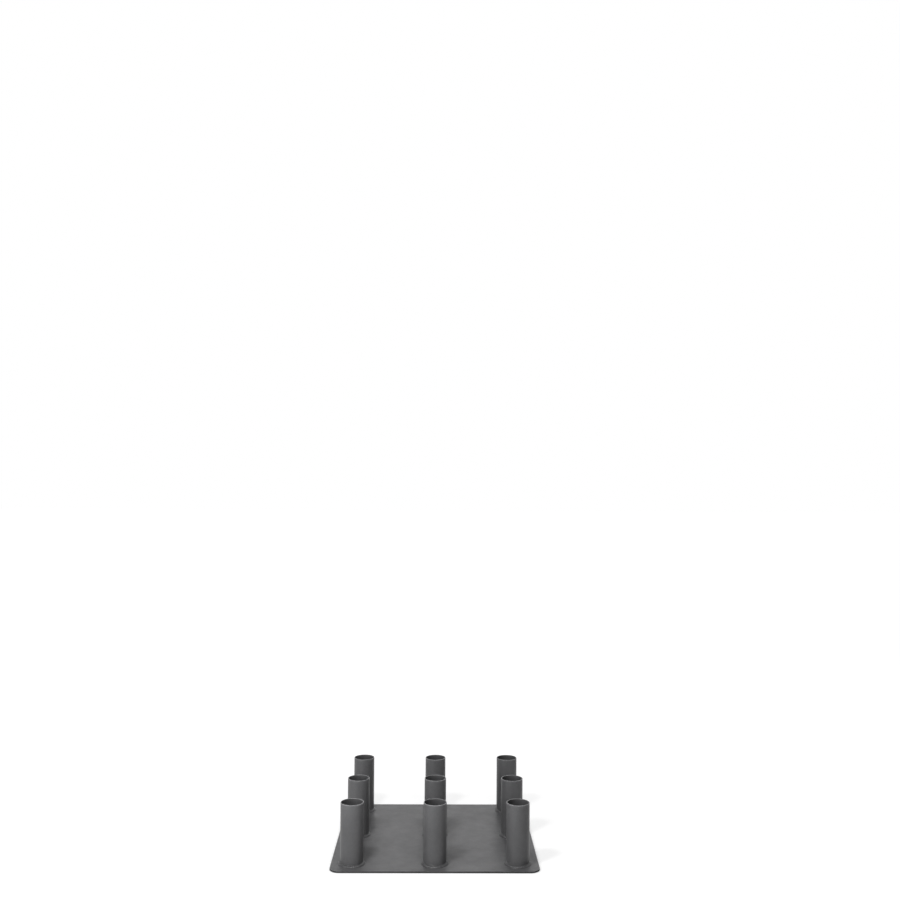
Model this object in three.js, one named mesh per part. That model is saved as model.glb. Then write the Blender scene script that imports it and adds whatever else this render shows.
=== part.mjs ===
// Floor rack with nine upright holders. A square steel plate with rounded corners lies on the
// floor and carries a grid of open-topped steel tubes. Each tube stands on the plate, is welded
// to it all round its foot, and has a loose rubber disc on its floor.
// Millimetres, +Z up, the front is -Y, the origin is the middle of the plate's underside.

import * as THREE from 'three';

// Whole rack
const rackHeight = 150;
const rowNames = ['front', 'middle', 'rear'];
const columnNames = ['left', 'centre', 'right'];
const holderSpacing = 200;

// Holder tubes, whose bore takes a round sleeve with some play
const sleeveDiameter = 50;
const sleevePlay = 1;
const tubeWall = 2;
const rimBreak = 0.4;
const tubeSides = 48;

// Weld bead round each tube's foot, laid in overlapping ripples
const weldLeg = 5;
const weldCrown = 0.9;
const weldSeat = 0.15;
const ripplePitch = 4.4;
const rippleDepth = 0.32;
const rippleToeShare = 0.5;
const rippleSweep = 1.5;
const rippleRiseShare = 0.68;
const lapLength = 16;
const lapRise = 0.7;
const faceSteps = 3;

// Floor plate, which reaches past the outer tubes
const plateThickness = 4;
const plateMargin = 22;
const cornerRadius = 24;
const plateEdgeBreak = 0.5;
const cornerSteps = 8;

// Rubber disc on the floor of each tube
const discThickness = 4;
const discPlay = 0.5;
const discEdgeBreak = 1;
const discSides = 24;

// Sizes that follow from the ones above
const boreRadius = sleeveDiameter / 2 + sleevePlay;
const tubeRadius = boreRadius + tubeWall;
const tubeLength = rackHeight - plateThickness;
const discRadius = boreRadius - discPlay;
const gridWidth = (columnNames.length - 1) * holderSpacing;
const gridDepth = (rowNames.length - 1) * holderSpacing;
const plateWidth = gridWidth + 2 * (tubeRadius + plateMargin);
const plateDepth = gridDepth + 2 * (tubeRadius + plateMargin);

// Finishes
const charcoalCoat = new THREE.MeshStandardMaterial({ color: 0x66676a, roughness: 0.5, metalness: 0.2 });
const weldCoat = new THREE.MeshStandardMaterial({ color: 0x5a5b5e, roughness: 0.4, metalness: 0.2 });
const blackRubber = new THREE.MeshStandardMaterial({ color: 0x1d1d1e, roughness: 0.9, metalness: 0 });

// A mesh that carries the name of the piece it is
function piece(name, geometry, material) {
  const mesh = new THREE.Mesh(geometry, material);
  mesh.name = name;
  return mesh;
}

// Turns a profile of [radius, height] points about the upright axis
function turned(profile, sides) {
  const points = profile.map(([radius, height]) => new THREE.Vector2(radius, height));
  return new THREE.LatheGeometry(points, sides).rotateX(Math.PI / 2);
}

// The floor plate's outline is a rectangle whose corners are quarter circles
function plateOutline() {
  const reachX = plateWidth / 2 - cornerRadius;
  const reachY = plateDepth / 2 - cornerRadius;
  const corners = [[1, -1], [1, 1], [-1, 1], [-1, -1]];
  const outline = new THREE.Shape();
  corners.forEach(([sideX, sideY], turn) => {
    const from = (turn - 1) * Math.PI / 2;
    outline.absarc(sideX * reachX, sideY * reachY, cornerRadius, from, from + Math.PI / 2);
  });
  return outline;
}

// The plate is cut from sheet, and its edges are broken top and bottom
function plateGeometry() {
  const sheet = new THREE.ExtrudeGeometry(plateOutline(), {
    depth: plateThickness - 2 * plateEdgeBreak,
    curveSegments: cornerSteps,
    bevelThickness: plateEdgeBreak,
    bevelSize: plateEdgeBreak,
    bevelOffset: -plateEdgeBreak,
    bevelSegments: 1,
  });
  return sheet.translate(0, 0, plateEdgeBreak);
}

// A tube is square at its foot, and its rim is broken inside and outside
function tubeGeometry() {
  return turned([
    [boreRadius, 0],
    [tubeRadius, 0],
    [tubeRadius, tubeLength - rimBreak],
    [tubeRadius - rimBreak, tubeLength],
    [boreRadius + rimBreak, tubeLength],
    [boreRadius, tubeLength - rimBreak],
    [boreRadius, 0],
  ], tubeSides);
}

// A disc is flat underneath, and its upper edge is broken so that it drops in easily
function discGeometry() {
  return turned([
    [0, 0],
    [discRadius, 0],
    [discRadius, discThickness - discEdgeBreak],
    [discRadius - discEdgeBreak, discThickness],
    [0, discThickness],
  ], discSides);
}

// Where the sections of the bead stand along its run: at each ripple's foot, then at its crest
function weldStations() {
  const runLength = 2 * Math.PI * (tubeRadius + weldLeg / 2);
  const rippleCount = Math.round(runLength / ripplePitch);
  const stations = [];
  for (let ripple = 0; ripple < rippleCount; ripple += 1) {
    stations.push({ angle: 2 * Math.PI * ripple / rippleCount, crest: 0 });
    stations.push({ angle: 2 * Math.PI * (ripple + rippleRiseShare) / rippleCount, crest: 1 });
  }
  return stations;
}

// How much the bead swells where its end laps over its start, from 0 to 1
function lapShare(angle) {
  const turnedBy = Math.min(angle, 2 * Math.PI - angle);
  const along = turnedBy * tubeRadius / lapLength;
  return along < 1 ? Math.cos(along * Math.PI / 2) ** 2 : 0;
}

// One section of the bead as [angle, radius, height] points: the root, then the face from its
// toe on the plate, over the crown, to its upper edge on the tube. Its ripples are crescents,
// shallower at the two edges than over the crown.
function weldSection({ angle, crest }, rootRadius) {
  const valley = rippleDepth * (1 - crest);
  const leg = weldLeg - rippleToeShare * valley + lapRise * lapShare(angle);
  const crown = weldCrown - valley;
  const section = [[angle, rootRadius, 0]];
  for (let step = 0; step <= faceSteps; step += 1) {
    const share = step / faceSteps;
    const bulge = 4 * share * (1 - share);
    const outward = crown * bulge * Math.SQRT1_2;
    const swept = angle + rippleSweep * bulge / tubeRadius;
    section.push([swept, rootRadius + leg * (1 - share) + outward, leg * share + outward]);
  }
  return section;
}

// The bead is one unbroken ring through its sections
function weldGeometry() {
  const stations = weldStations();
  const widestShare = Math.max(rippleRiseShare, 1 - rippleRiseShare);
  const widestStep = 2 * Math.PI * widestShare / (stations.length / 2);
  const rootRadius = (tubeRadius + weldSeat) / Math.cos(widestStep / 2);
  const sections = stations.map((station) => weldSection(station, rootRadius));
  const around = sections.length;
  const across = sections[0].length;
  const positions = sections.flat().flatMap(([angle, radius, height]) => [
    radius * Math.cos(angle),
    radius * Math.sin(angle),
    height,
  ]);
  const faces = [];
  for (let i = 0; i < around; i += 1) {
    for (let j = 0; j < across; j += 1) {
      const here = i * across;
      const next = ((i + 1) % around) * across;
      const k = (j + 1) % across;
      faces.push(here + j, next + j, next + k);
      faces.push(here + j, next + k, here + k);
    }
  }
  const ring = new THREE.BufferGeometry();
  ring.setAttribute('position', new THREE.Float32BufferAttribute(positions, 3));
  ring.setIndex(faces);
  ring.computeVertexNormals();
  return ring;
}

// One holder stands on the plate at its own origin. The welder starts each bead elsewhere.
function holder(place, weldTurn) {
  const group = new THREE.Group();
  const bead = piece(`weld_bead_${place}`, weldGeometry(), weldCoat);
  bead.rotation.z = weldTurn;
  group.add(piece(`holder_tube_${place}`, tubeGeometry(), charcoalCoat));
  group.add(bead);
  group.add(piece(`rest_disc_${place}`, discGeometry(), blackRubber));
  return group;
}

// The rack
const rack = new THREE.Group();
rack.add(piece('base_plate', plateGeometry(), charcoalCoat));

rowNames.forEach((rowName, row) => {
  columnNames.forEach((columnName, column) => {
    const order = row * columnNames.length + column;
    const weldTurn = 2 * Math.PI * order / (rowNames.length * columnNames.length);
    const stand = holder(`${rowName}_${columnName}`, weldTurn);
    const x = column * holderSpacing - gridWidth / 2;
    const y = row * holderSpacing - gridDepth / 2;
    stand.position.set(x, y, plateThickness);
    rack.add(stand);
  });
});

export default rack;
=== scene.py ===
"""Looks of a low floor rack with nine upright holder tubes on a square plate.

The floor plate, the holder tubes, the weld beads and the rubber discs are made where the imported
model has them and at its sizes, then finished. Run as a script, it builds the rack and its studio.
"""

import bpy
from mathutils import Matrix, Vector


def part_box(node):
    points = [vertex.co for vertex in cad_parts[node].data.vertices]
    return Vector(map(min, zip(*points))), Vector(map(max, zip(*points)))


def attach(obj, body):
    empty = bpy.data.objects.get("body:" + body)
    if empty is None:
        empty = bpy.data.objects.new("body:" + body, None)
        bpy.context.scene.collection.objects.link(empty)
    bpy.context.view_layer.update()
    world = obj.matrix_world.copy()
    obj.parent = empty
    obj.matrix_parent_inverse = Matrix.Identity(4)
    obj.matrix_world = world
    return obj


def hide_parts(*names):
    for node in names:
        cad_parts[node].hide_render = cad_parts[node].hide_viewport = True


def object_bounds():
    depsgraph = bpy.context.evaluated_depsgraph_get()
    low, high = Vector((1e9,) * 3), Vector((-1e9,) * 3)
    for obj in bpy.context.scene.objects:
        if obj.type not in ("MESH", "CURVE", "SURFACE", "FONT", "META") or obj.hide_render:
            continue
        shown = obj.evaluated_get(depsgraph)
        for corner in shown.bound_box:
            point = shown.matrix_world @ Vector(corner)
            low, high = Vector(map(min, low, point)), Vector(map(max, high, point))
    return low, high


bl_info = {
    "name": "Nine Holder Floor Rack",
    "version": (1, 0, 0),
    "blender": (4, 5, 0),
    "location": "3D View > Sidebar > Floor Rack",
    "description": "Makes the plate, tubes, welds and discs of a welded floor rack",
    "category": "Add Mesh",
}

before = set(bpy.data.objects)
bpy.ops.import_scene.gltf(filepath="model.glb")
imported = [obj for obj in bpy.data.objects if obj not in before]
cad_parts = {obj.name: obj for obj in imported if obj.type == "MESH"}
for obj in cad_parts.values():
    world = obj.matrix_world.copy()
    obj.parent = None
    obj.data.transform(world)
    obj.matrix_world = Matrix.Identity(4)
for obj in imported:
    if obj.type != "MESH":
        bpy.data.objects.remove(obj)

import math
import random
from bisect import bisect_right
from typing import NamedTuple

import bpy
from bpy.props import FloatProperty, FloatVectorProperty, IntProperty, PointerProperty
from bpy.types import Operator, Panel, PropertyGroup
from mathutils import Matrix, Vector

CAD_LOW, CAD_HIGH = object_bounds()
BODY = "root"

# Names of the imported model's nodes
PLATE_NODE = "base_plate"
TUBE_PREFIX = "holder_tube_"
BEAD_PREFIX = "weld_bead_"
DISC_PREFIX = "rest_disc_"

# The photograph's frame, and the lens and the place that were fitted to it
PHOTO_WIDTH_PX = 900
FOCAL_LENGTH_PX = 990.9
SENSOR_WIDTH_MM = 36.0
CAMERA_PLACE = (0.0006, -2.6222, 0.9016)
CAMERA_PITCH = 0.0405
CAMERA_YAW = -0.0124
CAMERA_ROLL = 0.0059
CAMERA_REACH = 200.0


class Lamp(NamedTuple):
    """A round softbox turned to the rack. Its azimuth goes from the front to the right, in degrees.

    Its strength is the light it gives on a surface that faces it at the rack's middle. One that
    isn't in glosses only fills in the sides that the others leave dark.
    """

    name: str
    strength: float
    azimuth: float
    elevation: float
    distance: float
    width: float
    in_gloss: bool = True


LAMPS = (
    Lamp("key_lamp", 1.27, -25.0, 54.0, 1.5, 0.2),
    Lamp("right_lamp", 0.28, 25.0, 56.0, 1.5, 0.2),
    Lamp("left_lamp", 0.78, -40.0, 16.0, 1.5, 0.6),
    Lamp("back_lamp", 0.26, 155.0, 48.0, 3.0, 1.6),
    Lamp("low_back_lamp", 0.08, 180.0, 22.0, 3.0, 1.6),
    Lamp("rear_fill_lamp", 1.0, 180.0, 10.0, 3.0, 1.6, in_gloss=False),
)


class Holder(NamedTuple):
    """Where one holder stands and what its solids measure, in metres."""

    place: str
    x: float
    y: float
    bore_radius: float
    tube_radius: float
    foot: float
    rim: float
    bead_height: float
    disc_radius: float
    disc_top: float


def measure_holder(place):
    """Reads one holder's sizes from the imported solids."""
    low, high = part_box(TUBE_PREFIX + place)
    bead_low, bead_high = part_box(BEAD_PREFIX + place)
    disc_low, disc_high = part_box(DISC_PREFIX + place)
    middle = (low + high) / 2
    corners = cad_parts[TUBE_PREFIX + place].data.vertices
    radii = [math.hypot(v.co.x - middle.x, v.co.y - middle.y) for v in corners]
    return Holder(
        place=place,
        x=middle.x,
        y=middle.y,
        bore_radius=min(radii),
        tube_radius=max(radii),
        foot=low.z,
        rim=high.z,
        bead_height=bead_high.z - bead_low.z,
        disc_radius=(disc_high.x - disc_low.x) / 2,
        disc_top=disc_high.z,
    )


def holders():
    """Every holder of the rack, in the order of their names."""
    names = sorted(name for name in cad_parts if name.startswith(TUBE_PREFIX))
    return [measure_holder(name[len(TUBE_PREFIX):]) for name in names]


# Sizes and colours that a user would change


class FloorRackCoat(PropertyGroup):
    """Powder coat on the plate, the tubes and the welds."""

    colour: FloatVectorProperty(
        name="Coat colour", description="Charcoal grey of the powder coat",
        subtype="COLOR", size=3, min=0.0, max=1.0, default=(0.106, 0.106, 0.109),
    )
    roughness: FloatProperty(
        name="Roughness", description="How matt the coat is",
        subtype="FACTOR", min=0.0, max=1.0, default=0.45,
    )
    peel_size: FloatProperty(
        name="Peel size", description="Distance between the soft waves in the cured coat",
        unit="LENGTH", min=0.0001, default=0.0026,
    )
    peel_depth: FloatProperty(
        name="Peel depth", description="Height of the soft waves in the cured coat",
        unit="LENGTH", min=0.0, default=0.00006,
    )
    grain_size: FloatProperty(
        name="Grain size", description="Distance between the fine grains of the coat",
        unit="LENGTH", min=0.0001, default=0.0007,
    )
    grain_depth: FloatProperty(
        name="Grain depth", description="Height of the fine grains of the coat",
        unit="LENGTH", min=0.0, default=0.00003,
    )


class FloorRackPlate(PropertyGroup):
    """Floor plate."""

    corner_radius: FloatProperty(
        name="Corner radius", description="Radius of the plate's four corners",
        unit="LENGTH", min=0.001, default=0.024,
    )
    edge_radius: FloatProperty(
        name="Edge radius", description="Rounding of the plate's cut edges under the coat",
        unit="LENGTH", min=0.0001, default=0.0006,
    )
    corner_steps: IntProperty(
        name="Corner steps", description="Flats in each rounded corner", min=2, default=20,
    )
    shine: FloatProperty(
        name="Shine", description="How much the coat reflects on the flat sheet",
        subtype="FACTOR", min=0.0, max=1.0, default=0.2,
    )


class FloorRackTube(PropertyGroup):
    """Holder tubes."""

    rim_radius: FloatProperty(
        name="Rim radius", description="Rounding of the sawn and deburred rim",
        unit="LENGTH", min=0.0001, default=0.0006,
    )
    # These reaches bound the wear and painted highlight: each tube is lightened faintly towards its
    # top and more near the rim, and so is the top of its bore
    wear_and_highlight_reach: FloatProperty(
        name="Rubbed reach", description="How far below the rim the coat is rubbed",
        unit="LENGTH", min=0.001, default=0.005,
    )
    faint_wear_and_highlight_reach: FloatProperty(
        name="Worn reach", description="How far below the rim the coat is faintly scuffed",
        unit="LENGTH", min=0.001, default=0.07,
    )
    bore_reach: FloatProperty(
        name="Bore reach", description="How far into the bore the coat is faintly rubbed",
        unit="LENGTH", min=0.001, default=0.006,
    )
    sides: IntProperty(name="Sides", description="Flats round each tube", min=24, default=120)
    shine: FloatProperty(
        name="Shine", description="How much the coat reflects on the tubes",
        subtype="FACTOR", min=0.0, max=1.0, default=0.3,
    )


class FloorRackWeld(PropertyGroup):
    """Weld bead round each tube's foot."""

    # The weld colour is painted shade: darker than the coat, it stands in for the shade in the
    # corner at each tube's foot
    colour: FloatVectorProperty(
        name="Weld colour", description="Darker grey of the coat where it lies over the welds",
        subtype="COLOR", size=3, min=0.0, max=1.0, default=(0.045, 0.045, 0.047),
    )
    lap_rise: FloatProperty(
        name="Lap rise", description="How much the bead swells where its end laps its start",
        unit="LENGTH", min=0.0, default=0.0007,
    )
    lap_length: FloatProperty(
        name="Lap length", description="Reach of the swelling to each side of the lap",
        unit="LENGTH", min=0.001, default=0.016,
    )
    crown: FloatProperty(
        name="Crown", description="How far the bead's face bulges out",
        unit="LENGTH", min=0.0, default=0.0009,
    )
    ripple_pitch: FloatProperty(
        name="Ripple pitch", description="Distance between ripples along the bead",
        unit="LENGTH", min=0.001, default=0.0044,
    )
    ripple_depth: FloatProperty(
        name="Ripple depth", description="Depth of the valleys between ripples",
        unit="LENGTH", min=0.0, default=0.00032,
    )
    ripple_sweep: FloatProperty(
        name="Ripple sweep", description="How far the middle of a ripple runs ahead of its ends",
        unit="LENGTH", min=0.0, default=0.0015,
    )
    seed: IntProperty(name="Seed", description="Start of the welds' irregularity", default=9)
    shine: FloatProperty(
        name="Shine", description="How much the coat reflects on the welds",
        subtype="FACTOR", min=0.0, max=1.0, default=0.42,
    )


class FloorRackDisc(PropertyGroup):
    """Rubber discs on the floors of the tubes."""

    colour: FloatVectorProperty(
        name="Rubber colour", description="Black of the rubber sheet",
        subtype="COLOR", size=3, min=0.0, max=1.0, default=(0.018, 0.018, 0.019),
    )
    edge_radius: FloatProperty(
        name="Edge radius", description="Rounding of the disc's upper edge",
        unit="LENGTH", min=0.0001, default=0.0009,
    )
    sides: IntProperty(name="Sides", description="Flats round each disc", min=24, default=96)


class FloorRackStage(PropertyGroup):
    """Floor and light of the studio."""

    lamp_level: FloatProperty(
        name="Lamp level", description="Brightness of all the lamps together", min=0.0, default=1.0,
    )
    sky_level: FloatProperty(
        name="Sky level", description="Brightness of the room round the rack",
        min=0.0, default=0.05,
    )
    floor_level: FloatProperty(
        name="Floor level", description="Share of the light that the pale floor gives back",
        subtype="FACTOR", min=0.0, max=1.0, default=0.95,
    )
    floor_size: FloatProperty(
        name="Floor size", description="Width of the pale floor", unit="LENGTH", default=80.0,
    )


# Meshes


def mesh_object(name, points, faces, material):
    """A smooth-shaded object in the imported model's frame, which rides on the rack."""
    mesh = bpy.data.meshes.new(name)
    mesh.from_pydata(points, [], faces)
    mesh.validate()
    mesh.polygons.foreach_set("use_smooth", [True] * len(mesh.polygons))
    mesh.materials.append(material)
    mesh.update()
    made = bpy.data.objects.new(name, mesh)
    bpy.context.scene.collection.objects.link(made)
    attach(made, BODY)
    return made


def paint(made, attribute, values):
    """Stores one value per point of the mesh, for its material to read."""
    layer = made.data.attributes.new(attribute, "FLOAT", "POINT")
    layer.data.foreach_set("value", values)


def strip_faces(rings, around, closed):
    """Faces between rings of points, each with the same count of points round it."""
    faces = []
    last = rings if closed else rings - 1
    for i in range(last):
        here = i * around
        above = ((i + 1) % rings) * around
        for j in range(around):
            k = (j + 1) % around
            faces.append((here + j, here + k, above + k, above + j))
    return faces


class Contour:
    """A cross-section, point by point, with the wear and painted highlight and the painted shade at
    each.
    """

    def __init__(self):
        self.points = []
        self.rubbed = []
        self.thin = []

    def add(self, across, height, rubbed=0.0, thin=0.0):
        """Adds one point."""
        self.points.append((across, height))
        self.rubbed.append(rubbed)
        self.thin.append(thin)

    def add_arc(self, centre, radius, start, rubbed=0.0, thin=(0.0, 0.0), steps=5):
        """Adds a quarter circle from the start angle onwards."""
        for step in range(steps + 1):
            share = step / steps
            angle = start + math.pi / 2 * share
            self.add(
                centre[0] + radius * math.cos(angle),
                centre[1] + radius * math.sin(angle),
                rubbed,
                thin[0] * (1 - share) + thin[1] * share,
            )

    def finish(self, made):
        """Stores the finish's state on a mesh whose rings follow this contour."""
        around = len(made.data.vertices) // len(self.points)
        paint(made, "rubbed", [value for value in self.rubbed for point in range(around)])
        paint(made, "thin", [value for value in self.thin for point in range(around)])


def turned_points(profile, sides, x, y):
    """Turns a profile of (radius, height) points about an upright axis at x, y."""
    points = []
    for radius, height in profile:
        for side in range(sides):
            angle = 2 * math.pi * side / sides
            points.append((x + radius * math.cos(angle), y + radius * math.sin(angle), height))
    return points


# Materials


class Variation(NamedTuple):
    """How a finish varies over a surface: noise of about size metres, spread from low to high.

    The value is low where the noise is at darks or below, and high where it is at lights or above.
    """

    size: float
    low: float
    high: float
    detail: float = 2.0
    roughness: float = 0.5
    darks: float = 0.3
    lights: float = 0.7


class Nodes:
    """Adds nodes to a node tree, each with its inputs set or linked."""

    SPACING = 220

    def __init__(self, tree):
        self.tree = tree
        self.tree.nodes.clear()

    def add(self, kind, settings=None, **inputs):
        """Adds a node. Settings are its own values, and inputs go to its sockets by name."""
        made = self.tree.nodes.new(kind)
        made.location = (self.SPACING * len(self.tree.nodes), 0)
        for name, value in (settings or {}).items():
            setattr(made, name, value)
        for name, value in inputs.items():
            socket = self.socket(made, name)
            if isinstance(value, bpy.types.NodeSocket):
                self.tree.links.new(value, socket)
            else:
                socket.default_value = value
        return made

    @staticmethod
    def socket(made, name):
        """Finds an input by its name, with _ for a space, or by its number after an i."""
        if name[0] == "i" and name[1:].isdigit():
            return made.inputs[int(name[1:])]
        return made.inputs[name.replace("_", " ")]

    def noise(self, where, size, detail=2.0, roughness=0.5):
        """Noise whose features are about size metres across."""
        made = self.add(
            "ShaderNodeTexNoise", Vector=where, Scale=1 / size, Detail=detail, Roughness=roughness,
        )
        return made.outputs[0]

    def state(self, name):
        """A value that the mesh stores for each of its points."""
        return self.add("ShaderNodeAttribute", {"attribute_name": name}).outputs["Fac"]

    def spread(self, value, low, high, to_low, to_high):
        """Maps a value from one range to another, and stops at the ends."""
        made = self.add(
            "ShaderNodeMapRange",
            i0=value, i1=low, i2=high, i3=to_low, i4=to_high,
        )
        return made.outputs[0]

    def vary(self, where, variation):
        """A value that varies over the surface."""
        noise = self.noise(where, variation.size, variation.detail, variation.roughness)
        return self.spread(
            noise, variation.darks, variation.lights, variation.low, variation.high,
        )

    def combine(self, kind, first, second):
        """Arithmetic on two values."""
        made = self.add("ShaderNodeMath", {"operation": kind}, i0=first, i1=second)
        return made.outputs[0]

    def tint(self, colour, factor):
        """A colour made lighter or darker by a factor."""
        made = self.add(
            "ShaderNodeVectorMath", {"operation": "SCALE"}, Vector=colour, Scale=factor,
        )
        return made.outputs[0]

    def mix(self, factor, first, second):
        """Mixes two colours."""
        made = self.add("ShaderNodeMix", {"data_type": "RGBA"}, i0=factor, i6=first, i7=second)
        return made.outputs[2]

    def bump(self, height, distance, normal=None):
        """Relief of the given height in metres, laid on another relief if there is one."""
        linked = {"Height": height, "Distance": distance, "Strength": 1.0}
        if normal is not None:
            linked["Normal"] = normal
        return self.add("ShaderNodeBump", **linked).outputs[0]

    def surface(self, colour, roughness, relief, shine):
        """Ends a material in a surface that isn't metal, with the given looks."""
        shader = self.add(
            "ShaderNodeBsdfPrincipled",
            Base_Color=colour,
            Roughness=roughness,
            Normal=relief,
            Metallic=0.0,
            Specular_IOR_Level=shine,
        )
        self.add("ShaderNodeOutputMaterial", Surface=shader.outputs[0])


def new_material(name):
    """An empty node material."""
    material = bpy.data.materials.new(name)
    material.use_nodes = True
    return material, Nodes(material.node_tree)


# How the coat varies in tone, in its painted shade, in its wear and painted highlight, and in
# roughness
COAT_CLOUDS = Variation(size=0.11, low=0.91, high=1.09, detail=3.0)
COAT_MOTTLE = Variation(size=0.012, low=0.95, high=1.05, detail=4.0, roughness=0.6)
COAT_PAINTED_SHADE_PATCHES = Variation(size=0.007, low=0.8, high=1.0, detail=4.0, roughness=0.6)
COAT_WEAR_AND_HIGHLIGHT_PATCHES = Variation(
    size=0.004, low=0.5, high=1.0, detail=4.0, roughness=0.65, darks=0.4, lights=0.62,
)
COAT_DULL_PATCHES = Variation(size=0.03, low=-0.06, high=0.06, detail=4.0, roughness=0.6)

# The coat's specks, against its own tone and the size of its grains
SPECK_TONE_SHARES = (0.84, 1.16)
SPECK_SIZE_SHARE = 0.7

# What becomes of the coat's tone and roughness under its painted shade and under its wear and
# painted highlight
PAINTED_SHADE_TONE_SHARE = 0.2
PAINTED_SHADE_DULLER = 0.25
WEAR_AND_HIGHLIGHT_BRIGHTER = 3.6
WEAR_AND_HIGHLIGHT_COVER_SHARE = 0.9
RUBBED_SMOOTHER = 0.06


def coat_material(name, coat, colour, shine, gloss=0.0, peel=1.0):
    """Satin powder coat with a soft peel and a fine grain, with wear and painted highlight and
    painted shade in places.

    Gloss is taken off the coat's roughness, and peel is a factor on the depth of its peel.
    """
    material, nodes = new_material(name)
    where = nodes.add("ShaderNodeTexCoord").outputs["Object"]

    clouds = nodes.vary(where, COAT_CLOUDS)
    mottle = nodes.vary(where, COAT_MOTTLE)
    speck_size = coat.grain_size * SPECK_SIZE_SHARE
    specks = nodes.vary(where, Variation(speck_size, *SPECK_TONE_SHARES))
    tone = nodes.combine("MULTIPLY", nodes.combine("MULTIPLY", clouds, mottle), specks)
    # Painted shade: the coat is darkened and made duller in the bores and on the plate's cut edge
    painted_shade_patches = nodes.vary(where, COAT_PAINTED_SHADE_PATCHES)
    thin = nodes.combine("MULTIPLY", nodes.state("thin"), painted_shade_patches)
    tone = nodes.combine("MULTIPLY", tone, nodes.spread(thin, 0.0, 1.0, 1.0, PAINTED_SHADE_TONE_SHARE))
    coated = nodes.tint((*colour,), tone)

    # Wear and painted highlight: the coat is lightened and made smoother at the rims and the
    # plate's edges, and faintly towards the tubes' tops
    wear_and_highlight_patches = nodes.vary(where, COAT_WEAR_AND_HIGHLIGHT_PATCHES)
    rubbed = nodes.combine("MULTIPLY", wear_and_highlight_patches, nodes.state("rubbed"))
    bright = tuple(min(1.0, channel * WEAR_AND_HIGHLIGHT_BRIGHTER) for channel in colour)
    cover = nodes.combine("MULTIPLY", rubbed, WEAR_AND_HIGHLIGHT_COVER_SHARE)
    coated = nodes.mix(cover, coated, (*bright, 1.0))

    roughness = nodes.vary(where, COAT_DULL_PATCHES)
    roughness = nodes.combine("ADD", roughness, coat.roughness - gloss)
    smoother = nodes.combine("MULTIPLY", rubbed, RUBBED_SMOOTHER)
    roughness = nodes.combine("SUBTRACT", roughness, smoother)
    duller = nodes.combine("MULTIPLY", thin, PAINTED_SHADE_DULLER)
    roughness = nodes.combine("ADD", roughness, duller)

    waves = nodes.noise(where, coat.peel_size)
    relief = nodes.bump(waves, coat.peel_depth * peel)
    grains = nodes.noise(where, coat.grain_size, roughness=0.55)
    relief = nodes.bump(grains, coat.grain_depth, relief)

    nodes.surface(coated, roughness, relief, shine)
    return material


# How the rubber varies in tone, in how scuffed it gets, and in roughness
RUBBER_CRUMBS = Variation(
    size=0.0012, low=0.75, high=1.35, detail=3.0, roughness=0.6, darks=0.35, lights=0.65,
)
RUBBER_SCUFFED_PATCHES = Variation(
    size=0.006, low=0.0, high=1.0, detail=4.0, roughness=0.7, darks=0.45, lights=0.7,
)
RUBBER_ROUGHNESS = Variation(size=0.003, low=0.72, high=0.86, detail=3.0)

# The rubber's pebbled skin and its shine, and what becomes of its colour where it is scuffed
PEBBLE_SIZE = 0.0016
PEBBLE_DEPTH = 0.00009
RUBBER_SHINE = 0.35
SCUFFED_BRIGHTER = 3.2
SCUFFED_COVER_SHARE = 0.6


def rubber_material(name, disc):
    """Matt black rubber sheet with a pebbled skin, scuffed where loads have stood."""
    material, nodes = new_material(name)
    where = nodes.add("ShaderNodeTexCoord").outputs["Object"]

    colour = nodes.tint((*disc.colour,), nodes.vary(where, RUBBER_CRUMBS))
    scuffed_patches = nodes.vary(where, RUBBER_SCUFFED_PATCHES)
    scuffed = nodes.combine("MULTIPLY", scuffed_patches, nodes.state("rubbed"))
    dusty = tuple(channel * SCUFFED_BRIGHTER for channel in disc.colour)
    cover = nodes.combine("MULTIPLY", scuffed, SCUFFED_COVER_SHARE)
    colour = nodes.mix(cover, colour, (*dusty, 1.0))

    roughness = nodes.vary(where, RUBBER_ROUGHNESS)
    pebbles = nodes.noise(where, PEBBLE_SIZE, detail=3.0, roughness=0.6)
    relief = nodes.bump(pebbles, PEBBLE_DEPTH)

    nodes.surface(colour, roughness, relief, RUBBER_SHINE)
    return material


# The pieces


def rounded_outline(half_width, half_depth, radius, steps):
    """A rectangle with round corners, as points anticlockwise from its front right corner."""
    points = []
    for turn, (side_x, side_y) in enumerate(((1, -1), (1, 1), (-1, 1), (-1, -1))):
        centre_x = side_x * (half_width - radius)
        centre_y = side_y * (half_depth - radius)
        for step in range(steps + 1):
            angle = math.pi / 2 * (turn - 1 + step / steps)
            points.append(
                (centre_x + radius * math.cos(angle), centre_y + radius * math.sin(angle))
            )
    return points


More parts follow.
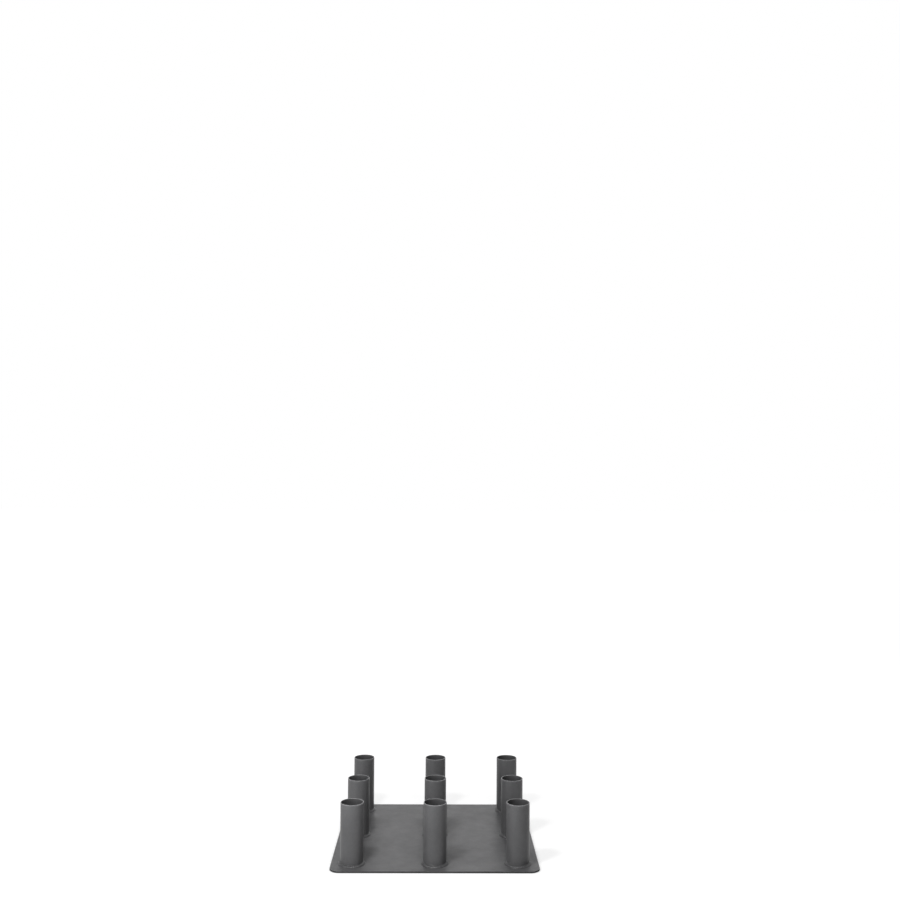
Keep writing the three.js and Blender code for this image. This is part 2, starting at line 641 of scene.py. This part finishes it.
def make_plate(plate, material):
    """The floor plate, with its cut edges softly rounded under the coat."""
    low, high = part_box(PLATE_NODE)
    half_width = (high.x - low.x) / 2
    half_depth = (high.y - low.y) / 2
    edge = plate.edge_radius
    # Rings this close to a rounding keep its shading off the flats beside it
    hold = edge / 2
    border = 4 * edge
    section = Contour()
    # The cut edge is darkened as painted shade, and its roundings are lightened as wear and painted
    # highlight
    section.add(-edge - hold, low.z)
    section.add_arc((-edge, low.z + edge), edge, -math.pi / 2, rubbed=0.3, thin=(0.0, 1.0))
    section.add(0.0, low.z + edge + hold, thin=1.0)
    section.add(0.0, high.z - edge - hold, thin=1.0)
    section.add_arc((-edge, high.z - edge), edge, 0.0, rubbed=0.2, thin=(1.0, 0.0))
    section.add(-edge - hold, high.z, rubbed=0.1)
    section.add(-border, high.z)
    points = []
    for outset, height in section.points:
        outline = rounded_outline(
            half_width + outset,
            half_depth + outset,
            plate.corner_radius + outset,
            plate.corner_steps,
        )
        points += [(x, y, height) for x, y in outline]
    around = len(points) // len(section.points)
    faces = strip_faces(len(section.points), around, closed=False)
    faces.append(tuple(reversed(range(around))))
    faces.append(tuple(range(len(points) - around, len(points))))
    made = mesh_object("floor_plate", points, faces, material)
    section.finish(made)
    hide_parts(PLATE_NODE)


def make_tube(holder, tube, material):
    """One holder tube, open at its rim, with both of its rim's edges rounded."""
    rim = tube.rim_radius
    hold = rim / 2
    shoulder = holder.rim - rim
    # The bore is darkened as painted shade, and the rim and the band below it are lightened as wear
    # and painted highlight
    bore_painted_shade = 0.15
    section = Contour()
    section.add(holder.bore_radius, holder.foot + hold, thin=bore_painted_shade)
    section.add(holder.bore_radius, holder.foot, thin=bore_painted_shade)
    section.add(holder.tube_radius, holder.foot)
    section.add(holder.tube_radius, holder.foot + hold)
    section.add(holder.tube_radius, shoulder - tube.faint_wear_and_highlight_reach)
    section.add(holder.tube_radius, shoulder - tube.wear_and_highlight_reach, rubbed=0.08)
    section.add(holder.tube_radius, shoulder - tube.wear_and_highlight_reach / 2, rubbed=0.15)
    section.add(holder.tube_radius, shoulder - hold, rubbed=0.35)
    section.add_arc((holder.tube_radius - rim, shoulder), rim, 0.0, rubbed=1.0)
    section.add_arc(
        (holder.bore_radius + rim, shoulder), rim, math.pi / 2, rubbed=0.7, thin=(0.0, bore_painted_shade),
    )
    section.add(holder.bore_radius, shoulder - hold, rubbed=0.1, thin=bore_painted_shade)
    section.add(holder.bore_radius, shoulder - tube.bore_reach, thin=bore_painted_shade)
    points = turned_points(section.points, tube.sides, holder.x, holder.y)
    faces = strip_faces(len(section.points), tube.sides, closed=True)
    made = mesh_object("coated_tube_" + holder.place, points, faces, material)
    section.finish(made)
    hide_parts(TUBE_PREFIX + holder.place)


class Bead:
    """The shape of one weld bead, each a little different from the next."""

    FACE_STEPS = 12
    STEPS_PER_RIPPLE = 10

    # Where a ripple's crest lies along it, how sharp it is, and how high the crests come out
    CREST_SHARE = 0.68
    CREST_POWER = 1.15
    SWELL_SHARES = (0.8, 1.1)

    # How far a ripple's start strays, in ripples, and how much of a valley reaches the toes
    MARK_STRAY_SHARE = 0.13
    TOE_SHARE = 0.5

    # The slow irregularity round a bead: its waves, their sizes against each other, and its reach
    WAVES = range(2, 9)
    WAVE_SIZE_SHARES = (0.3, 1.0)
    STRAY = 0.0002

    # How far the face flows out thin at its toes, and how deep its hidden sides lie in the steel
    FLOW = 0.0006
    SUNK = 0.00008

    def __init__(self, holder, weld, order, count):
        self.holder = holder
        self.weld = weld
        chance = random.Random(weld.seed + order)
        self.leg = holder.bead_height - weld.lap_rise
        run = 2 * math.pi * (holder.tube_radius + self.leg / 2)
        self.ripples = round(run / weld.ripple_pitch)
        self.start = 2 * math.pi * order / count
        stray = self.MARK_STRAY_SHARE
        marks = [ripple + chance.uniform(-stray, stray) for ripple in range(1, self.ripples)]
        self.marks = [0.0, *marks, float(self.ripples)]
        self.swell = [chance.uniform(*self.SWELL_SHARES) for ripple in range(self.ripples)]
        self.waves = [
            (wave, chance.uniform(0, 2 * math.pi), chance.uniform(*self.WAVE_SIZE_SHARES))
            for wave in self.WAVES
        ]

    def wander(self, angle):
        """A slow irregularity round the bead, from about -1 to 1."""
        total = sum(size * math.sin(wave * angle + phase) for wave, phase, size in self.waves)
        return total / sum(size for wave, phase, size in self.waves)

    def relief(self, angle):
        """Height of the ripples at an angle, from 0 in a valley to about 1 on a crest."""
        along = (angle / (2 * math.pi) * self.ripples) % self.ripples
        ripple = min(bisect_right(self.marks, along), self.ripples) - 1
        phase = (along - self.marks[ripple]) / (self.marks[ripple + 1] - self.marks[ripple])
        skew = math.log(0.5) / math.log(self.CREST_SHARE)
        crest = math.sin(math.pi * min(1.0, phase) ** skew) ** self.CREST_POWER
        return crest * self.swell[ripple]

    def lap(self, angle):
        """Swelling where the bead's end laps its start, from 0 to 1."""
        turned_by = min(angle, 2 * math.pi - angle)
        along = turned_by * self.holder.tube_radius / self.weld.lap_length
        return math.cos(along * math.pi / 2) ** 2 if along < 1 else 0.0

    def section(self, angle):
        """Points of the bead's face as (out from the tube, up from the plate) at an angle."""
        weld = self.weld
        stray = self.STRAY * self.wander(angle)
        points = [(-self.SUNK, -self.SUNK)]
        for step in range(self.FACE_STEPS + 1):
            share = step / self.FACE_STEPS
            bulge = 4 * share * (1 - share)
            behind = angle - weld.ripple_sweep * bulge / self.holder.tube_radius
            valley = weld.ripple_depth * (1 - self.relief(behind % (2 * math.pi)))
            leg = self.leg - self.TOE_SHARE * valley + stray + weld.lap_rise * self.lap(angle)
            outward = (weld.crown - valley) * bulge * math.sqrt(0.5)
            if step == 0:
                points.append((leg + self.FLOW, -self.SUNK))
                points.append((leg + self.FLOW / 2, self.SUNK))
            points.append((leg * (1 - share) + outward, leg * share + outward))
            if step == self.FACE_STEPS:
                points.append((self.SUNK, leg + self.FLOW / 2))
                points.append((-self.SUNK, leg + self.FLOW))
        return points


def make_bead(holder, weld, order, count, material):
    """One fillet weld of overlapping ripples, laid all round the foot of a tube."""
    bead = Bead(holder, weld, order, count)
    stations = bead.ripples * bead.STEPS_PER_RIPPLE
    points = []
    for station in range(stations):
        angle = 2 * math.pi * station / stations
        turned_to = angle + bead.start
        for out, up in bead.section(angle):
            radius = holder.tube_radius + out
            points.append((
                holder.x + radius * math.cos(turned_to),
                holder.y + radius * math.sin(turned_to),
                holder.foot + up,
            ))
    across = len(points) // stations
    faces = strip_faces(stations, across, closed=True)
    faces = [tuple(reversed(face)) for face in faces]
    made = mesh_object("coated_weld_" + holder.place, points, faces, material)
    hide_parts(BEAD_PREFIX + holder.place)


# Rings on a disc's flat top, as shares of its radius, each with how scuffed the rubber is there
SCUFF_RING_SHARES = ((0.88, 1.0), (0.8, 1.0), (0.6, 0.25), (0.3, 0.25))


def make_disc(holder, disc, material):
    """One die-cut rubber disc, lying on the plate inside a tube."""
    edge = disc.edge_radius
    hold = edge / 2
    radius = holder.disc_radius
    section = Contour()
    section.add(radius - hold, holder.foot)
    section.add(radius, holder.foot + hold)
    section.add(radius, holder.disc_top - edge - hold)
    section.add_arc((radius - edge, holder.disc_top - edge), edge, 0.0, rubbed=0.25)
    section.add(radius - edge - hold, holder.disc_top, rubbed=0.25)
    for share, rubbed in SCUFF_RING_SHARES:
        section.add(radius * share, holder.disc_top, rubbed=rubbed)
    points = turned_points(section.points, disc.sides, holder.x, holder.y)
    faces = strip_faces(len(section.points), disc.sides, closed=False)
    faces.append(tuple(reversed(range(disc.sides))))
    faces.append(tuple(range(len(points) - disc.sides, len(points))))
    made = mesh_object("rubber_disc_" + holder.place, points, faces, material)
    section.finish(made)
    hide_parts(DISC_PREFIX + holder.place)


# The studio

# The floor lies just under the plate. Where it is looked at, it gives back a share of the lamps'
# light, which shows the rack's shadow, and glows by itself. The glow rises from its first share
# to its second between two distances from the rack's middle.
FLOOR_GAP = 0.0001
FLOOR_LIT_SHARE = 0.42
FLOOR_GLOW_SHARES = (0.80, 1.0)
FLOOR_GLOW_DISTANCES = (0.35, 1.1)

# Reach and samples of the painted contact shadow, a thin dark line under the plate's edge
CONTACT_REACH = 0.012
CONTACT_SAMPLES = 8


def grey(share):
    """An opaque grey with this share of white."""
    return (share, share, share, 1.0)


def seen_directly(nodes):
    """1 where the background is looked at, straight or in a gloss or through glass, else 0."""
    path = nodes.add("ShaderNodeLightPath")
    seen = nodes.combine("MAXIMUM", path.outputs["Is Camera Ray"], path.outputs["Is Glossy Ray"])
    return nodes.combine("MAXIMUM", seen, path.outputs["Is Transmission Ray"])


def make_floor(stage):
    """A pale floor that keeps the rack's soft shadow and meets the room without a line."""
    half = stage.floor_size / 2
    level = CAD_LOW.z - FLOOR_GAP
    sides = ((-1, -1), (1, -1), (1, 1), (-1, 1))
    corners = [(side_x * half, side_y * half, level) for side_x, side_y in sides]
    mesh = bpy.data.meshes.new("studio_floor")
    mesh.from_pydata(corners, [], [(0, 1, 2, 3)])
    material, nodes = new_material("Pale studio floor")
    pale = nodes.add("ShaderNodeBsdfDiffuse", Color=grey(stage.floor_level))
    shaded = nodes.add("ShaderNodeBsdfDiffuse", Color=grey(FLOOR_LIT_SHARE))
    # The lamps reach only the floor near the rack, so the rest is white by itself. Close under the
    # plate's edge the glow is darkened by how little of the room the floor sees there, a painted
    # contact shadow that leaves a thin dark line.
    place = nodes.add("ShaderNodeTexCoord").outputs["Object"]
    away = nodes.add("ShaderNodeVectorMath", {"operation": "LENGTH"}, Vector=place).outputs["Value"]
    glow = nodes.spread(away, *FLOOR_GLOW_DISTANCES, *FLOOR_GLOW_SHARES)
    open_to_room = nodes.add(
        "ShaderNodeAmbientOcclusion", {"samples": CONTACT_SAMPLES}, Distance=CONTACT_REACH,
    )
    glow = nodes.combine("MULTIPLY", glow, open_to_room.outputs["AO"])
    white = nodes.add("ShaderNodeEmission", Color=grey(1.0), Strength=glow)
    seen = nodes.add("ShaderNodeAddShader", i0=shaded.outputs[0], i1=white.outputs[0])
    either = nodes.add(
        "ShaderNodeMixShader", i0=seen_directly(nodes), i1=pale.outputs[0], i2=seen.outputs[0],
    )
    nodes.add("ShaderNodeOutputMaterial", Surface=either.outputs[0])
    mesh.materials.append(material)
    floor = bpy.data.objects.new("studio_floor", mesh)
    bpy.context.scene.collection.objects.link(floor)


def make_room(stage):
    """The room's light: white where it is looked at, and plain soft fill elsewhere."""
    world = bpy.data.worlds.new("Studio room")
    bpy.context.scene.world = world
    world.use_nodes = True
    nodes = Nodes(world.node_tree)
    fill = nodes.add("ShaderNodeBackground", Color=grey(1.0), Strength=stage.sky_level)
    white = nodes.add("ShaderNodeBackground", Color=grey(1.0), Strength=1.0)
    either = nodes.add(
        "ShaderNodeMixShader", i0=seen_directly(nodes), i1=fill.outputs[0], i2=white.outputs[0],
    )
    nodes.add("ShaderNodeOutputWorld", Surface=either.outputs[0])


def make_lamp(lamp, level):
    """A softbox turned to the rack. It may be seen in glosses, and not in the picture itself."""
    light = bpy.data.lights.new(lamp.name, "AREA")
    light.shape = "DISK"
    light.size = lamp.width
    light.energy = lamp.strength * level * math.pi * lamp.distance ** 2
    made = bpy.data.objects.new(lamp.name, light)
    made.visible_camera = False
    made.visible_glossy = lamp.in_gloss
    turn, rise = math.radians(lamp.azimuth), math.radians(lamp.elevation)
    towards = Vector((
        math.sin(turn) * math.cos(rise), -math.cos(turn) * math.cos(rise), math.sin(rise),
    ))
    made.location = towards * lamp.distance
    made.rotation_euler = towards.to_track_quat("Z", "Y").to_euler()
    bpy.context.scene.collection.objects.link(made)


def make_camera():
    """The camera that was fitted to the photograph."""
    data = bpy.data.cameras.new("photo_camera")
    data.sensor_width = SENSOR_WIDTH_MM
    data.lens = FOCAL_LENGTH_PX * SENSOR_WIDTH_MM / PHOTO_WIDTH_PX
    data.clip_end = CAMERA_REACH
    camera = bpy.data.objects.new("photo_camera", data)
    turned = Matrix.Rotation(CAMERA_YAW, 4, "Z")
    tilted = Matrix.Rotation(math.pi / 2 + CAMERA_PITCH, 4, "X")
    rolled = Matrix.Rotation(CAMERA_ROLL, 4, "Z")
    camera.matrix_world = Matrix.Translation(CAMERA_PLACE) @ turned @ tilted @ rolled
    bpy.context.scene.collection.objects.link(camera)
    bpy.context.scene.camera = camera


# Operators


class FLOORRACK_OT_plate(Operator):
    """Make the floor plate"""

    bl_idname = "floorrack.plate"
    bl_label = "Floor plate"

    def execute(self, context):
        coat = context.scene.floorrack_coat
        plate = context.scene.floorrack_plate
        make_plate(plate, coat_material("Charcoal coat on plate", coat, coat.colour, plate.shine))
        return {"FINISHED"}


class FLOORRACK_OT_tubes(Operator):
    """Make the holder tubes"""

    bl_idname = "floorrack.tubes"
    bl_label = "Holder tubes"

    def execute(self, context):
        coat = context.scene.floorrack_coat
        tube = context.scene.floorrack_tube
        material = coat_material("Charcoal coat on tubes", coat, coat.colour, tube.shine)
        for holder in holders():
            make_tube(holder, tube, material)
        return {"FINISHED"}


class FLOORRACK_OT_welds(Operator):
    """Make the weld beads"""

    bl_idname = "floorrack.welds"
    bl_label = "Weld beads"

    def execute(self, context):
        weld = context.scene.floorrack_weld
        coat = context.scene.floorrack_coat
        # The welds' darker colour is painted shade at the tubes' feet
        material = coat_material(
            "Charcoal coat on welds", coat, weld.colour, weld.shine, gloss=0.06, peel=0.5,
        )
        found = holders()
        for order, holder in enumerate(found):
            make_bead(holder, weld, order, len(found), material)
        return {"FINISHED"}


class FLOORRACK_OT_discs(Operator):
    """Make the rubber discs in the tubes"""

    bl_idname = "floorrack.discs"
    bl_label = "Rubber discs"

    def execute(self, context):
        material = rubber_material("Black rubber sheet", context.scene.floorrack_disc)
        for holder in holders():
            make_disc(holder, context.scene.floorrack_disc, material)
        return {"FINISHED"}


class FLOORRACK_OT_stage(Operator):
    """Make the studio's floor, lamps and camera"""

    bl_idname = "floorrack.stage"
    bl_label = "Studio"

    def execute(self, context):
        stage = context.scene.floorrack_stage
        make_floor(stage)
        make_room(stage)
        for lamp in LAMPS:
            make_lamp(lamp, stage.lamp_level)
        make_camera()
        context.scene.view_settings.view_transform = "Standard"
        return {"FINISHED"}


class FLOORRACK_PT_sidebar(Panel):
    """Lists the rack's pieces with their sizes"""

    bl_idname = "FLOORRACK_PT_sidebar"
    bl_label = "Floor Rack"
    bl_space_type = "VIEW_3D"
    bl_region_type = "UI"
    bl_category = "Floor Rack"

    def draw(self, context):
        coat = self.layout.box()
        for name in FloorRackCoat.__annotations__:
            coat.prop(context.scene.floorrack_coat, name)
        for operator, settings in SECTIONS:
            box = self.layout.box()
            box.operator(operator.bl_idname)
            group = getattr(context.scene, settings)
            for name in type(group).__annotations__:
                box.prop(group, name)


SETTINGS = {
    "floorrack_coat": FloorRackCoat,
    "floorrack_plate": FloorRackPlate,
    "floorrack_tube": FloorRackTube,
    "floorrack_weld": FloorRackWeld,
    "floorrack_disc": FloorRackDisc,
    "floorrack_stage": FloorRackStage,
}

SECTIONS = (
    (FLOORRACK_OT_plate, "floorrack_plate"),
    (FLOORRACK_OT_tubes, "floorrack_tube"),
    (FLOORRACK_OT_welds, "floorrack_weld"),
    (FLOORRACK_OT_discs, "floorrack_disc"),
    (FLOORRACK_OT_stage, "floorrack_stage"),
)


def register():
    """Registers the settings, the operators and the panel."""
    for name, group in SETTINGS.items():
        bpy.utils.register_class(group)
        setattr(bpy.types.Scene, name, PointerProperty(type=group))
    for operator, settings in SECTIONS:
        bpy.utils.register_class(operator)
    bpy.utils.register_class(FLOORRACK_PT_sidebar)


def unregister():
    """Takes out what register put in."""
    bpy.utils.unregister_class(FLOORRACK_PT_sidebar)
    for operator, settings in reversed(SECTIONS):
        bpy.utils.unregister_class(operator)
    for name, group in reversed(SETTINGS.items()):
        delattr(bpy.types.Scene, name)
        bpy.utils.unregister_class(group)


def main():
    """Builds the rack and its studio."""
    register()
    bpy.ops.floorrack.plate()
    bpy.ops.floorrack.tubes()
    bpy.ops.floorrack.welds()
    bpy.ops.floorrack.discs()
    bpy.ops.floorrack.stage()


if __name__ == "__main__":
    main()
